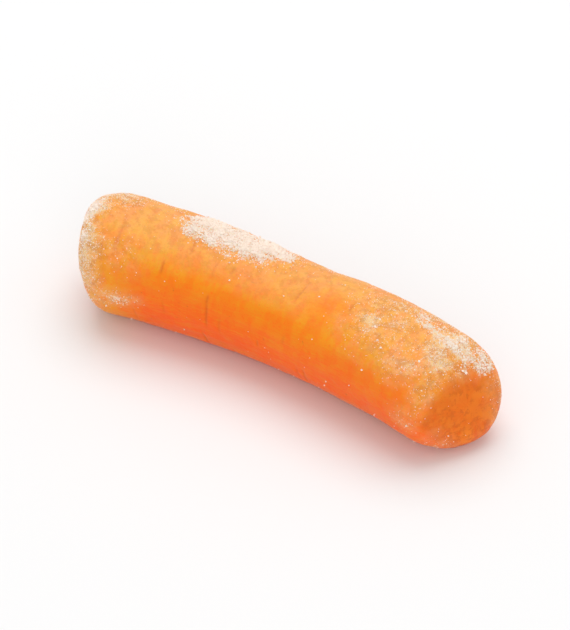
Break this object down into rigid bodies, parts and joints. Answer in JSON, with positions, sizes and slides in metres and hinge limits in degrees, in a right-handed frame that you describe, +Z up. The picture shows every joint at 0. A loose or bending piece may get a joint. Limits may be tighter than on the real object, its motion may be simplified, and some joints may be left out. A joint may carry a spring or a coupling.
{
  "type": "baby-cut carrot",
  "caption": "Frozen baby-cut carrot: a short, slightly bowed orange root piece with blunt rounded ends and white frost, lying on a narrow flat.",
  "frame": {"origin": "on the resting plane, under the middle of the bounding box", "axes": "+X along the root from the thick crown end to the slimmer tip end, +Y to the side that the root bows towards, +Z up"},
  "size_m": [0.0568, 0.016, 0.0146],
  "materials": {
    "carrot_flesh": "moist satin skin with a dusting of frost",
    "frost": "dry white rime"
  },
  "bodies": {
    "root": {"carrot": "carrot_flesh"}
  },
  "joints": []
}
